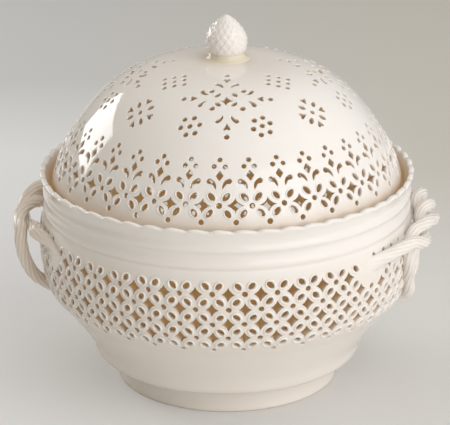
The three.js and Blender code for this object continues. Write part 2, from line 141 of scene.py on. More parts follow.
world = bpy.data.worlds.new("studio")
world.use_nodes = True
bpy.context.scene.world = world
room = world.node_tree
sky = room.nodes["Background"]
sky.inputs["Strength"].default_value = SKY_STRENGTH
view_way = room.nodes.new("ShaderNodeTexCoord")
across = room.nodes.new("ShaderNodeMapping")
across.inputs["Location"].default_value = (0.5, 0, 0)
across.inputs["Rotation"].default_value = (0, 0, -math.radians(VIEW_AZIMUTH))
across.inputs["Scale"].default_value = (FADE_RATE, FADE_RATE, FADE_RATE)
fade = room.nodes.new("ShaderNodeTexGradient")
walls = room.nodes.new("ShaderNodeMix")
walls.data_type = "RGBA"
walls.inputs[6].default_value = WARM_WALL
walls.inputs[7].default_value = GREY_WALL
room.links.new(view_way.outputs["Generated"], across.inputs["Vector"])
room.links.new(across.outputs["Vector"], fade.inputs["Vector"])
room.links.new(fade.outputs["Fac"], walls.inputs[0])
room.links.new(walls.outputs[2], sky.inputs["Color"])

# %% [markdown]
# ## Writing shaders as sums
#
# A node tree is easier to read as an expression. Measure wraps a socket that carries a number and adds a
# Math node for every sum. Finish owns a material, and its one method makes every other node: it takes the
# node's type, then its settings, then what goes into its sockets.

# %% Shader helpers


class Measure:
    """A number that varies over a surface."""

    def __init__(self, finish, socket):
        self.finish = finish
        self.socket = socket

    def reckon(self, operation, first, second):
        made = self.finish.node("Math", {"operation": operation}, {0: first, 1: second})
        return Measure(self.finish, made.outputs[0])

    def __add__(self, other):
        return self.reckon("ADD", self, other)

    def __sub__(self, other):
        return self.reckon("SUBTRACT", self, other)

    def __mul__(self, other):
        return self.reckon("MULTIPLY", self, other)


class Finish:
    """A material and its node tree."""

    def __init__(self, name):
        self.material = bpy.data.materials.new(name)
        self.material.use_nodes = True
        self.tree = self.material.node_tree
        self.tree.nodes.clear()

    def node(self, kind, settings=None, sockets=None):
        made = self.tree.nodes.new("ShaderNode" + kind)
        for key, value in (settings or {}).items():
            setattr(made, key, value)
        for key, value in (sockets or {}).items():
            socket = made.inputs[key]
            if isinstance(value, Measure):
                value = value.socket
            if isinstance(value, bpy.types.NodeSocket):
                self.tree.links.new(value, socket)
            else:
                socket.default_value = value
        return made

    def noise(self, scale, detail=2.0):
        """Cloudy variation from -1 to 1, fixed to the piece."""
        place = self.node("TexCoord").outputs["Object"]
        made = self.node("TexNoise", {}, {"Vector": place, "Scale": scale, "Detail": detail})
        return Measure(self, made.outputs["Fac"]) * 2 - 1

    def blend(self, share, first, second):
        """A colour between two others."""
        made = self.node("Mix", {"data_type": "RGBA"}, {0: share, 6: first, 7: second})
        return made.outputs[2]

    def show(self, shader):
        self.node("OutputMaterial", {}, {"Surface": shader.outputs[0]})
        return self.material


# %% [markdown]
# ## Glaze
#
# Creamware is white clay under a clear lead glaze that holds a little iron. Where the glaze lies thin it is
# ivory. Where it pools, in creases and under the knop, it turns honey yellow. The same honey is also painted
# shade: inside, in the holes, in the creases, in recesses and on the left handle, which stands in shade. So
# every piece carries a number at each point for its pooling and painted shade, and the colour follows it. The
# surface
# is nearly mirror smooth: a faint bump keeps its reflections a little uneven, as a dipped glaze is, and slow
# waves show in the broad parts. Deep inside, a faint glow is painted light, which brightens the inside and the
# holes.

# %% Glaze materials
# Honey is pooled glaze, and also painted shade inside, in the holes and in recesses. The glow is painted light.
IVORY = (0.845, 0.805, 0.762, 1)
HONEY_AND_SHADE = (0.62, 0.42, 0.23, 1)
AMBER = (0.66, 0.55, 0.30, 1)
PAINTED_GLOW = (0.14, 0.1, 0.044, 1)
WAVE_DEPTH = 0.22 * MM


def glaze(name, pooled_and_shaded):
    """Ivory where it lies thin, and another colour where it has pooled and where shade is painted."""
    finish = Finish(name)
    pooling_and_shade = Measure(finish, finish.node("Attribute", {"attribute_name": "pooling_and_shade"}).outputs["Fac"])
    cloud = finish.noise(22)
    speck = finish.noise(900, 1)
    colour = finish.blend(pooling_and_shade + cloud * 0.035 + speck * 0.02, IVORY, pooled_and_shaded)
    swell = finish.noise(38) * 0.8 + finish.noise(240) * 0.12
    bump = finish.node("Bump", {}, {"Strength": 0.5, "Distance": WAVE_DEPTH, "Height": swell})
    shader = finish.node(
        "BsdfPrincipled",
        {},
        {
            "Base Color": colour,
            "Roughness": finish.noise(60) * 0.02 + pooling_and_shade * 0.3 + 0.06,
            "Normal": bump.outputs[0],
            "IOR": 1.52,
            # Painted light: a faint glow where the number is high, on the inner faces and round the holes'
            # inner edges.
            "Emission Color": finish.blend(pooling_and_shade * 2 - 1, (0, 0, 0, 1), PAINTED_GLOW),
            "Emission Strength": 1.0,
        },
    )
    return finish.show(shader)


cream_glaze = glaze("cream_glaze", HONEY_AND_SHADE)
warm_glaze = glaze("warm_glaze", AMBER)
print("glazes:", cream_glaze.name, warm_glaze.name)

# %% [markdown]
# ## Floor
#
# The basket stands on pale paper. Seen straight, its colour is painted light: it darkens behind the basket and
# is a little lighter on the left, as the light falls, and the paper glows faintly, as a lit backdrop does,
# which keeps the shadow soft. The basket gets no light from that: what the paper throws back at it is that of a
# plain white sheet.

# %% Floor
# Painted light on the paper as seen straight: its colour near and far on each side.
LEFT_NEAR = (0.55, 0.545, 0.54, 1)
LEFT_FAR = (0.42, 0.416, 0.408, 1)
RIGHT_NEAR = (0.515, 0.502, 0.478, 1)
RIGHT_FAR = (0.45, 0.43, 0.386, 1)
WHITE_SHEET = (0.8, 0.79, 0.77, 1)
PAPER_ROUGHNESS = 0.7
PAPER_GLOW = 0.35


def paper(name):
    """Behind and across are metres from the basket's axis, as seen from the camera."""
    finish = Finish(name)
    place = finish.node("TexCoord").outputs["Object"]
    split = finish.node("SeparateXYZ", {}, {0: place})
    x = Measure(finish, split.outputs["X"])
    y = Measure(finish, split.outputs["Y"])
    turn = math.radians(VIEW_AZIMUTH)
    behind = y * math.cos(turn) - x * math.sin(turn)
    across = x * math.cos(turn) + y * math.sin(turn)
    left = finish.blend((behind - 0.4) * 5, LEFT_NEAR, LEFT_FAR)
    right = finish.blend((behind - 0.14) * 4.5, RIGHT_NEAR, RIGHT_FAR)
    colour = finish.blend(across * 3.2 + 0.5, left, right)
    plain = {"Base Color": WHITE_SHEET, "Roughness": PAPER_ROUGHNESS}
    lit = {"Base Color": colour, "Roughness": PAPER_ROUGHNESS, "Emission Color": colour}
    lit["Emission Strength"] = PAPER_GLOW
    mirrored = finish.node("BsdfPrincipled", {}, plain).outputs[0]
    seen = finish.node("BsdfPrincipled", {}, lit).outputs[0]
    straight = finish.node("LightPath").outputs["Is Camera Ray"]
    return finish.show(finish.node("MixShader", {}, {0: straight, 1: mirrored, 2: seen}))


bpy.ops.object.select_all(action="DESELECT")
bpy.ops.mesh.primitive_plane_add(size=9, location=(0, 0, 0))
floor = bpy.context.object
floor.name = "floor"
floor.data.materials.append(paper("paper"))
print("floor laid")

# %% [markdown]
# ## Sections and walls
#
# A turned wall is a line swung round the axis. Outline holds that line as radius and height and is walked
# by its length, because a punch works on the surface and not on a drawing. on_wall gives points of the
# wall, and may lift them off it along its normal: a negative lift is the inner face.

# %% Outlines


def smooth_line(points, steps=6):
    """A line through all the points, rounded between them."""
    points = np.array(points, float)
    padded = np.vstack([2 * points[0] - points[1], points, 2 * points[-1] - points[-2]])
    line = [points[0]]
    for a, b, c, d in zip(padded, padded[1:], padded[2:], padded[3:]):
        for step in range(1, steps + 1):
            t = step / steps
            line.append(0.5 * (
                2 * b + (c - a) * t + (2 * a - 5 * b + 4 * c - d) * t**2 + (3 * b - a - 3 * c + d) * t**3
            ))
    return np.array(line)


def lengths_along(points):
    """How far along a line each of its points lies."""
    steps = np.linalg.norm(np.diff(points, axis=0), axis=1)
    return np.concatenate([[0], np.cumsum(steps)])


class Outline:
    """The section of a turned wall, walked by its length in millimetres."""

    def __init__(self, points):
        self.points = np.array(points, float)
        self.walked = lengths_along(self.points)
        self.length = self.walked[-1]

    def at(self, walked):
        """Radius and height at a length."""
        radius = np.interp(walked, self.walked, self.points[:, 0])
        height = np.interp(walked, self.walked, self.points[:, 1])
        return radius, height

    def outward(self, walked, span=1.2):
        """The way out of the wall, as out and up."""
        r0, h0 = self.at(np.clip(walked - span, 0, self.length))
        r1, h1 = self.at(np.clip(walked + span, 0, self.length))
        size = np.hypot(r1 - r0, h1 - h0)
        return (h1 - h0) / size, (r0 - r1) / size

    def at_height(self, height):
        """For an outline that only climbs."""
        return float(np.interp(height, self.points[:, 1], self.walked))

    def at_radius(self, radius):
        """For an outline that only draws in."""
        return float(np.interp(-radius, -self.points[:, 0], self.walked))


def swung(angle, radius, height):
    turn = np.radians(angle)
    radius, height = np.broadcast_arrays(radius, height)
    return np.stack([radius * np.sin(turn), -radius * np.cos(turn), height + 0 * turn], axis=-1)


def on_wall(outline, angle, walked, lift=0.0):
    radius, height = outline.at(walked)
    out, rise = outline.outward(walked)
    return swung(angle, radius + lift * out, height + lift * rise)


def wall_normals(outline, angle, walked):
    out, rise = outline.outward(walked)
    return swung(angle, out, rise)


# %% [markdown]
# Clay collects points, faces and the glaze's pooling with painted shade while a piece is built. Its strip joins
# two loops with quads, and its cap closes a loop to a point. fire turns it into a Blender object. Points that
# lie on the plain wall know their exact normal, which keeps the highlights clean where the mesh is irregular.

# %% Clay


class Clay:
    """A mesh in the making, in millimetres."""

    def __init__(self):
        self.points = []
        self.pooling_and_shade = []
        self.normals = []
        self.faces = []
        self.count = 0

    def add(self, points, pooling_and_shade=0.0, normals=None):
        points = np.atleast_2d(points)
        first = self.count
        self.count += len(points)
        self.points.append(points)
        self.pooling_and_shade.append(np.broadcast_to(pooling_and_shade, len(points)))
        self.normals.append(np.zeros((len(points), 3)) if normals is None else normals)
        return np.arange(first, self.count)

    def strip(self, near, far):
        quads = np.stack([near, np.roll(near, -1), np.roll(far, -1), far], axis=1)
        self.faces.extend(quads.tolist())

    def cap(self, loop, point, pooling_and_shade=0.0, outward=True):
        (middle,) = self.add(point, pooling_and_shade)
        for here, after in zip(loop, np.roll(loop, -1)):
            edge = [int(here), int(after)] if outward else [int(after), int(here)]
            self.faces.append(edge + [int(middle)])

    def turn(self, columns, section, before=None, bend=None):
        """Rings of (radius, height, pooling and painted shade) one after another. Returns the first and the
        last ring.
        A bend may move the points of each ring."""
        first = None
        for radius, height, pooling_and_shade in section:
            place = (radius, height) if bend is None else bend(radius, height)
            ring = self.add(swung(columns, *place), pooling_and_shade)
            if first is None:
                first = ring
            if before is not None:
                self.strip(before, ring)
            before = ring
        return first, before

    def fire(self, name, body, replaced, finish):
        mesh = bpy.data.meshes.new(name)
        mesh.from_pydata((np.concatenate(self.points) * MM).tolist(), [], self.faces)
        mesh.shade_smooth()
        pooling_and_shade = mesh.attributes.new("pooling_and_shade", "FLOAT", "POINT")
        pooling_and_shade.data.foreach_set("value", np.concatenate(self.pooling_and_shade).astype(np.float32))
        normals = np.concatenate(self.normals)
        if np.any(normals):
            mesh.normals_split_custom_set_from_vertices(normals.tolist())
        piece = bpy.data.objects.new(name, mesh)
        bpy.context.scene.collection.objects.link(piece)
        hand_over(piece, body, replaced, finish)


def hand_over(piece, body, replaced, finish):
    """Gives a finished piece its glaze, puts it on the body that carries it, and hides the solid that it stands
    for.
    """
    piece.data.materials.append(finish)
    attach(piece, body)
    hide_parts(replaced)
    triangles = sum(len(face.vertices) - 2 for face in piece.data.polygons)
    print(f"{piece.name}: {triangles} triangles")


# %% [markdown]
# ## Punches
#
# The piercing uses few tools: a round punch, an oval one for petals, a hollow-sided star, a lozenge, a
# comma and a heart. Each is drawn once, anticlockwise, and stamped many times. Every point knows which way
# is out of the hole, so that the glazed edge can be drawn round it.

# %% Punch shapes


class Punch:
    """The outline of a hole in millimetres. The margins say how wide its rolled edge is at each point."""

    def __init__(self, points, margins=1.0):
        points = np.array(points, float)
        margins = np.broadcast_to(margins, len(points))
        ahead = np.roll(points, -1, axis=0)
        area = np.sum(points[:, 0] * ahead[:, 1] - ahead[:, 0] * points[:, 1])
        if area < 0:
            points = points[::-1]
            margins = margins[::-1]
        forward = np.roll(points, -1, axis=0) - points
        forward /= np.linalg.norm(forward, axis=1)[:, None]
        along = forward + np.roll(forward, 1, axis=0)
        along /= np.linalg.norm(along, axis=1)[:, None]
        self.points = points
        self.margins = margins
        self.out = np.stack([along[:, 1], -along[:, 0]], axis=1)

    def mirrored(self):
        return Punch(self.points * [-1, 1], self.margins)


def curve_of_power(width, height, power, count):
    """A power of 2 draws an ellipse, about 1 a lozenge, and less a hollow-sided star."""
    turn = np.arange(count) * 2 * np.pi / count
    cos, sin = np.cos(turn), np.sin(turn)
    share = 2 / power
    x = width * np.sign(cos) * abs(cos) ** share
    y = height * np.sign(sin) * abs(sin) ** share
    return np.stack([x, y], axis=1)


PETAL_POINTS = 12


def petal_outline(length, width):
    turn = np.arange(PETAL_POINTS) * 2 * np.pi / PETAL_POINTS
    return np.stack([length * np.cos(turn), width * np.sign(np.sin(turn)) * abs(np.sin(turn)) ** 1.2], axis=1)


def comma_outline(head=1.5, reach=(-3.6, -4.7), elbow=(-3.0, -0.2)):
    """A round head with a curved tail that thins out."""

    def spine(u):
        return 2 * u * (1 - u) * np.array(elbow) + u**2 * np.array(reach)

    one_side, other_side = [], []
    for u in (0.28, 0.48, 0.68, 0.86):
        along = spine(u + 0.02) - spine(u - 0.02)
        across = np.array([-along[1], along[0]]) / np.linalg.norm(along)
        half = head * (1 - u) ** 0.7 * 0.8 + 0.2
        one_side.append(spine(u) + across * half)
        other_side.append(spine(u) - across * half)
    start = math.atan2(one_side[0][1], one_side[0][0])
    end = math.atan2(other_side[0][1], other_side[0][0])
    while end < start:
        end += 2 * math.pi
    ring = [head * np.array([math.cos(a), math.sin(a)]) for a in np.linspace(start + 0.45, end - 0.45, 9)]
    return ring + other_side + [spine(1.0)] + one_side[::-1]


half_heart = [(0.55, -1.7), (1.3, -0.5), (2.1, 0.6), (2.2, 1.4), (1.6, 2.0), (0.8, 1.85)]
heart_outline = [(0, -2.9)] + half_heart + [(0, 1.15)] + [(-x, y) for x, y in half_heart[::-1]]

petal_sides = abs(np.sin(np.arange(PETAL_POINTS) * 2 * np.pi / PETAL_POINTS)) ** 1.5
petal_margins = 0.65 + 0.35 * petal_sides
band_star = Punch(curve_of_power(4.2, 4.5, 0.72, 20))
lid_star = Punch(curve_of_power(4.9, 4.2, 0.66, 20))
band_petal = Punch(petal_outline(2.4, 1.5), petal_margins)
petal = Punch(petal_outline(2.65, 1.5), petal_margins)
round_hole = Punch(curve_of_power(1.62, 1.62, 2, 9))
lozenge = Punch(curve_of_power(2.2, 3.0, 1.08, 12))
comma = Punch(comma_outline())
arm_comma = Punch(comma_outline(1.45, (-3.4, -4.2), (-2.9, -0.9)))
heart = Punch(heart_outline)
print("punches:", len(comma.points), "points in a comma,", len(heart.points), "in a heart")

# %% [markdown]
# ## Cutting the wall
#
# Booleans would cut these holes, but several hundred of them leave a ragged mesh with hard edges. Here the
# wall is laid out flat as a ring, the edges of all the holes are drawn on it, and triangles that keep to
# those edges fill the clay between them. The same triangles serve for the outer and the inner face. Round
# every hole a few loops then roll the edge over: a raised lip, a rounded shoulder, the cut itself and the
# inner edge. That is how glaze softens a cut.

# %% Cuts


class Cut:
    """One hole, at a place on the wall. The turn is anticlockwise from level, seen from outside."""

    def __init__(self, punch, angle, walked, turn, size, edge, lip=0.05):
        self.punch = punch
        self.angle = angle
        self.walked = walked
        self.turn = math.radians(turn)
        self.size = size
        self.edge = edge
        self.lip = lip

    def rim(self, outline, offset):
        """Angle and length of every point round the hole, that far outside the cut."""
        points = self.punch.points * self.size + self.punch.out * (offset * self.punch.margins)[:, None]
        cos, sin = math.cos(self.turn), math.sin(self.turn)
        across = points[:, 0] * cos - points[:, 1] * sin
        along = points[:, 0] * sin + points[:, 1] * cos
        walked = self.walked + along
        radius, _ = outline.at(walked)
        return self.angle + np.degrees(across / radius), walked

    def reach(self):
        return np.linalg.norm(self.punch.points, axis=1).max() * self.size + self.edge


ROOM_TRIES = 16
NARROWING = 0.88
BATCH = 400


def middles_of(outline, cuts):
    return on_wall(outline, np.array([c.angle for c in cuts]), np.array([c.walked for c in cuts]))


def make_room(outline, cuts, gap):
    """Narrows the rolled edges of cuts that lie too close together."""
    middles = middles_of(outline, cuts)
    for _ in range(ROOM_TRIES):
        rims = []
        for cut in cuts:
            rim = on_wall(outline, *cut.rim(outline, cut.edge))
            after = np.roll(rim, -1, axis=0)
            rims.append(np.concatenate([rim + (after - rim) * share for share in (0, 0.25, 0.5, 0.75)]))
        reaches = np.array([cut.reach() for cut in cuts])
        crowded = set()
        for k, rim in enumerate(rims):
            apart = np.linalg.norm(middles - middles[k], axis=1)
            for other in np.flatnonzero((apart < reaches + reaches[k] + gap) & (np.arange(len(cuts)) > k)):
                nearest = np.linalg.norm(rim[:, None] - rims[other][None], axis=2).min()
                if nearest < gap:
                    crowded |= {k, int(other)}
        if not crowded:
            break
        for k in crowded:
            cuts[k].edge *= NARROWING
    widths = [cut.edge for cut in cuts]
    print("edges from", round(min(widths), 2), "to", round(max(widths), 2), "mm wide")


def loose_points(outline, low, high, cuts, rims, grain):
    """Points on the plain clay, clear of all the holes, so that it stays round between them."""
    angles, lengths = [], []
    rows = int(round((high - low) / grain))
    for row in range(1, rows):
        walked = low + (high - low) * row / rows
        count = int(round(2 * math.pi * outline.at(walked)[0] / grain))
        angles.append((np.arange(count) + 0.5 * (row % 2)) * 360 / count)
        lengths.append(np.full(count, walked))
    angles, lengths = np.concatenate(angles), np.concatenate(lengths)
    points = on_wall(outline, angles, lengths)
    edges = on_wall(outline, rims[:, 0], rims[:, 1])
    middles = middles_of(outline, cuts)
    reaches = np.array([c.reach() for c in cuts])
    keep = np.zeros(len(points), bool)
    for first in range(0, len(points), BATCH):
        some = slice(first, first + BATCH)
        gap = np.linalg.norm(points[some, None] - edges[None], axis=2).min(axis=1)
        inside = (np.linalg.norm(points[some, None] - middles[None], axis=2) < reaches).any(axis=1)
        keep[some] = (gap > 0.6 * grain) & ~inside
    return np.stack([angles[keep], lengths[keep]], axis=1)


# %% [markdown]
# pierce does the cutting. It leaves out the triangles that fall in a hole, and then leads the rim of every
# hole through the wall, loop by loop.

# %% Pierced wall


def within(point, loop):
    """Whether a point lies inside a closed loop."""
    x, y = point
    ahead = np.roll(loop, -1, axis=0)
    crosses = (loop[:, 1] > y) != (ahead[:, 1] > y)
    rise = np.where(ahead[:, 1] == loop[:, 1], 1, ahead[:, 1] - loop[:, 1])
    meets = loop[:, 0] + (y - loop[:, 1]) * (ahead[:, 0] - loop[:, 0]) / rise
    return np.count_nonzero(crosses & (x < meets)) % 2 == 1


# Painted shade: the number of every inner face, which is glazed cream like the outside.
INSIDE_SHADE = 0.85
RING_LIP = 0.35
INNER_SHOULDER = 0.5
# Loops from the plain clay into the hole: share of the edge's width, share of the lip's rise, depth, and
# pooling with painted shade, deepest at the cut
RING_ROLL = [
    (0.88, 0.3, 0, 0.06), (0.62, 0.92, 0, 0), (0.33, 0.96, 0, 0), (0.1, 0.4, 0, 0.08), (0, 0, 0.6, 0.3),
]
EDGE_ROLL = [(0.5, 1.0, 0, 0), (0.14, 0.5, 0.1, 0.05), (0, 0, 0.65, 0.3)]


def pierce(clay, outline, columns, low, high, cuts, wall, grain, hub, gap, tint):
    """Clay round all the cuts between two lengths. Returns the low and high edge loops, outside then inside.
    The wall is laid flat as a ring, whose middle is the hub: a length beyond the high edge."""
    make_room(outline, cuts, gap)
    loops = [np.stack([columns, np.full(len(columns), length)], axis=1) for length in (low, high)]
    loops += [np.stack(cut.rim(outline, cut.edge), axis=1) for cut in cuts]
    spots = loops + [loose_points(outline, low, high, cuts, np.concatenate(loops), grain)]
    starts = np.concatenate([[0], np.cumsum([len(loop) for loop in spots])])
    places = np.concatenate(spots)
    reach = hub - places[:, 1]
    turn = np.radians(places[:, 0])
    flat = np.stack([reach * np.sin(turn), -reach * np.cos(turn)], axis=1)
    ties = []
    owner = np.full(len(places), -1)
    for k, loop in enumerate(loops):
        ring = np.arange(starts[k], starts[k] + len(loop))
        owner[ring] = k
        ties.extend(zip(ring.tolist(), np.roll(ring, -1).tolist()))
    found = delaunay_2d_cdt([Vector(p) for p in flat], ties, [], 0, 1e-6, True)
    origin = [ids[0] if ids else -1 for ids in found[3]]
    if len(found[0]) != len(places) or -1 in origin:
        raise ValueError(f"holes touch: {len(places)} points became {len(found[0])}")
    triangles = []
    for face in found[2]:
        a, b, c = (origin[i] for i in face)
        # A triangle on one loop only may fill a hole. Loop 0 is the low edge, and loop 1 the high one.
        if owner[a] == owner[b] == owner[c] != -1 and owner[a] != 0:
            ring = flat[starts[owner[a]]:starts[owner[a] + 1]]
            if owner[a] == 1 or within((flat[a] + flat[b] + flat[c]) / 3, ring):
                continue
        (ax, ay), (bx, by), (cx, cy) = flat[a], flat[b], flat[c]
        clockwise = (bx - ax) * (cy - ay) < (by - ay) * (cx - ax)
        triangles.append((a, c, b) if clockwise else (a, b, c))
    triangles = np.array(triangles)
    angles, lengths = places[:, 0], places[:, 1]
    normals = wall_normals(outline, angles, lengths)
    outer = clay.add(on_wall(outline, angles, lengths), tint(lengths), normals)
    inner = clay.add(on_wall(outline, angles, lengths, -wall), INSIDE_SHADE, -normals)
    clay.faces.extend(outer[triangles].tolist())
    clay.faces.extend(inner[triangles[:, ::-1]].tolist())
    for cut, start in zip(cuts, starts[2:]):
        ring = np.arange(start, start + len(cut.punch.points))
        before = outer[ring]
        for share, rise, depth, pooling_and_shade in RING_ROLL if cut.lip > RING_LIP else EDGE_ROLL:
            lift = rise * cut.lip - depth
            loop = clay.add(on_wall(outline, *cut.rim(outline, share * cut.edge), lift), pooling_and_shade)
            clay.strip(before, loop)
            before = loop
        loop = clay.add(on_wall(outline, *cut.rim(outline, 0.0), INNER_SHOULDER - wall), INSIDE_SHADE)
        clay.strip(before, loop)
        clay.strip(loop, inner[ring])
    low_ring = np.arange(starts[0], starts[1])
    high_ring = np.arange(starts[1], starts[2])
    return outer[low_ring], outer[high_ring], inner[low_ring], inner[high_ring]


# %% [markdown]
# ## The bowl
#
# The bowl turns up from the foot in a tight hip, swells to its widest just under the top row of stars and
# draws in to a neck. Above the neck come two small ridges and a flaring rim with a ledge inside for the
# lid. The rim's edge is notched into scallops: each rises steeply from its notch and slopes down to the
# next one.

# %% Bowl section
FOOT_TOP = 14.5
BULGE_RADIUS = 111.0
BULGE_HEIGHT = 86.0
NECK_RADIUS = 108.3
NECK_HEIGHT = 105.8
HIP_RADIUS = 79.8
HIP_HEIGHT = 19.0
BELLY = 2.3
BELLY_HEIGHT = 61
BOWL_WALL = 4.2


def side_radius(height):
    """Radius of the bowl's side from the hip over the bulge to the neck."""
    if height <= BULGE_HEIGHT:
        rise = (height - HIP_HEIGHT) / (BULGE_HEIGHT - HIP_HEIGHT)
        belly = BELLY * math.exp(-(((height - BELLY_HEIGHT) / 10) ** 2))
        return HIP_RADIUS + (BULGE_RADIUS - HIP_RADIUS) * (1 - (1 - rise) ** 2) ** 1.6 + belly
    rise = (height - BULGE_HEIGHT) / (NECK_HEIGHT - BULGE_HEIGHT)
    return BULGE_RADIUS - (BULGE_RADIUS - NECK_RADIUS) * rise**2


crease = smooth_line([(68.2, FOOT_TOP), (72.6, 14.9), (76.6, 16.3), (79.3, 18.3), (80.6, 21.5)])
side = [(side_radius(h), h) for h in np.arange(25.0, NECK_HEIGHT, 1.5)]
collar = smooth_line([
    (side_radius(NECK_HEIGHT - 0.9), NECK_HEIGHT - 0.9), (107.9, 106.3), (108.7, 107.0), (108.8, 108.2),
    (108.2, 109.4), (107.4, 111.2), (107.2, 113.4), (107.8, 115.2), (108.7, 116.3), (108.9, 117.4),
    (108.2, 118.6), (107.5, 120.4),
])
bowl = Outline(np.vstack([crease, side, collar]))
print("the wall is", round(bowl.length), "mm from foot to lip")

# %% [markdown]
# The pattern of the band is a chequerboard. Stars and round holes take turns in each row, and every next
# row is moved on by one. On each diagonal that joins two round holes lies a petal, so a round hole with its
# petals reads as a flower. Near the handles' upper ends the wall is left plain. No two cuts of a hand punch
# are quite alike, so each gets a small seeded shift.

# %% Band cuts
ROW_HEIGHTS = [92.1, 82.9, 73.7, 64.7, 56.0]
CELLS = 38
HALF_CELL = 180 / CELLS
BAND_PHASE = -0.8
FRINGE_HEIGHT = 100.2
LEAN_IN = 0.35
# Degrees from a pad within which there are no top stars or round holes, and no petals of the top two rows
STAR_REACH = 6.6
PETAL_REACHES = (4.0, 2.6)
# Between a pad and its handle there are no top petals either, and the fringe takes their place
PAD_SPAN = 19
# Azimuth of each plain pad, and the way round from it to the handle
PADS = ((56.2, 1), (123.8, -1), (236.2, 1), (303.8, -1))
hand = random.Random(11)


def nudged(punch, angle, walked, turn, outline, size=1.0, **edge):
    """A cut with the small shift, turn and size error of a hand punch."""
    radius, _ = outline.at(walked)
    angle += math.degrees(hand.uniform(-0.2, 0.2) / radius)
    walked += hand.uniform(-0.2, 0.2)
    return Cut(punch, angle, walked, turn + hand.uniform(-3, 3), size * hand.uniform(0.95, 1.04), **edge)


def near_pad(angle, reach):
    return any(abs(angle % 360 - pad) < reach for pad, _ in PADS)


def band_cuts():
    """Stars and round holes by turns, with a petal on each diagonal, and a fringe of petals beside each pad."""
    rows = [bowl.at_height(h) for h in ROW_HEIGHTS]
    levels = [2 * rows[0] - rows[1]] + rows
    bottom = len(rows) - 1
    for column in range(2 * CELLS):
        angle = BAND_PHASE + column * HALF_CELL
        for row, walked in enumerate(rows):
            if row == 0 and near_pad(angle, STAR_REACH):
                continue
            if (column + row) % 2:
                size = 0.92 if row == bottom else 1.0
                yield nudged(round_hole, angle, walked, 0, bowl, size, edge=0.65, lip=0.2)
            elif row < bottom:
                yield nudged(band_star, angle, walked, 0, bowl, edge=0.3, lip=0.04)
        for row, lower in enumerate(rows):
            upper = levels[row]
            lean_in = LEAN_IN if row == 0 else 0.0
            falls = (column + row) % 2 == 0
            middle = angle + HALF_CELL / 2 + (lean_in if falls else -lean_in)
            if row < 2 and near_pad(middle, PETAL_REACHES[row]):
                continue
            if row == 0 and any(0 < (middle - pad) * way < PAD_SPAN for pad, way in PADS):
                continue
            half = math.radians(HALF_CELL) * bowl.at(lower)[0]
            lean = math.degrees(math.atan2(upper - lower, half))
            turn = -lean if falls else lean
            yield nudged(band_petal, middle, (upper + lower) / 2, turn, bowl, edge=1.95, lip=0.72)
    for pad, way in PADS:
        for k in range(4):
            lean = way * (60 if k % 2 else -60)
            angle = pad + way * (HALF_CELL * k + 1.6)
            fringe = bowl.at_height(FRINGE_HEIGHT)
            yield nudged(band_petal, angle, fringe, lean, bowl, 0.8, edge=0.7, lip=0.25)


bowl_cuts = list(band_cuts())
print(len(bowl_cuts), "cuts in the band")

# %% [markdown]
# The bowl is one skin. It runs from the middle of the underside up the outside, through the pierced band,
# over the scalloped rim and the ledge, and down the inside to the middle of its floor. Each ring also says
# how much glaze has pooled there and how much shade is painted on it. The whole inside is painted shade.

# %% Bowl
SCALLOPS = 52
FIRST_NOTCH = 10.4
STEEP_SHARE = 0.3
SCALLOP_DEPTH = 1.5
SCALLOP_FOOT = 123.5
SCALLOP_CLIMB = 5.5
notch_shares = np.array([0, 0.07, 0.18, 0.36, 0.6, 0.82])
bowl_columns = (FIRST_NOTCH + (np.arange(SCALLOPS)[:, None] + notch_shares) * 360 / SCALLOPS).ravel()
steep = np.clip(1 - notch_shares / STEEP_SHARE, 0, 1) ** 1.5
gentle = np.clip((notch_shares - STEEP_SHARE) / (1 - STEEP_SHARE), 0, 1) ** 1.7
drop = np.tile(steep + gentle, SCALLOPS)


def scalloped(radius, height):
    """The rim's rings follow the notches, the more so the nearer they are to the edge."""
    share = np.clip((height - SCALLOP_FOOT) / SCALLOP_CLIMB, 0, 1) ** 1.3
    return radius - 0.5 * drop * share, height - SCALLOP_DEPTH * drop * share


def section_of(outline, start, stop, step, pooling_and_shade=0.0):
    """Rings of a wall between two lengths, without the last one."""
    count = max(2, int(round((stop - start) / step)))
    radii, heights = outline.at(np.linspace(start, stop, count + 1)[:-1])
    return [(r, h, pooling_and_shade) for r, h in zip(radii, heights)]


BAND_FOOT = 50.4
BAND_TOP = 104.6
BOWL_GRAIN = 3.6
RIM_CREST = 107.4
FLOOR_HEIGHT = 18.7

clay = Clay()
low, high = bowl.at_height(BAND_FOOT), bowl.at_height(BAND_TOP)
out_low, out_high, in_low, in_high = pierce(
    clay, bowl, bowl_columns, low, high, bowl_cuts, BOWL_WALL, BOWL_GRAIN, hub=high + 95, gap=0.3,
    # Painted shade: the band's plain clay between the raised rings is a little warmer, except near its top.
    tint=lambda walked: 0.15 * np.clip((high - walked) / 6, 0, 1),
)

# Painted shade under the bowl; in the crease over the foot, pooling and painted shade; the lower bowl a little
# warmer.
underside = [(radius, FOOT_TOP, 0.4) for radius in (4, 30, 56)]
hip = [(r, h, 0.3 if r < 70.5 else 0.13) for r, h, _ in section_of(bowl, 0, 16, 1.6)]
below = section_of(bowl, 16, low, 3.4, 0.12)
first, last = clay.turn(bowl_columns, underside + hip + below)
clay.cap(first, (0, 0, FOOT_TOP), 0.4, outward=False)
clay.strip(last, out_low)

neck = section_of(bowl, high, bowl.length, 1.3)[1:]
# Under the collar a crease gets pooling and a painted shadow line.
neck = [(r, h, 0.2 if 105.4 < h < 106.8 else 0.0) for r, h, _ in neck]
rim = smooth_line([
    (107.5, 120.4), (107.9, 122.6), (108.9, 125.2), (110.0, 127.6), (110.3, 128.6), (109.9, 129.3),
    (108.9, 129.6), (107.8, 129.4), (107.2, 128.6), (106.7, 127.0), (105.6, 124.6), (104.6, 122.4),
    (104.2, 120.8),
], 2)
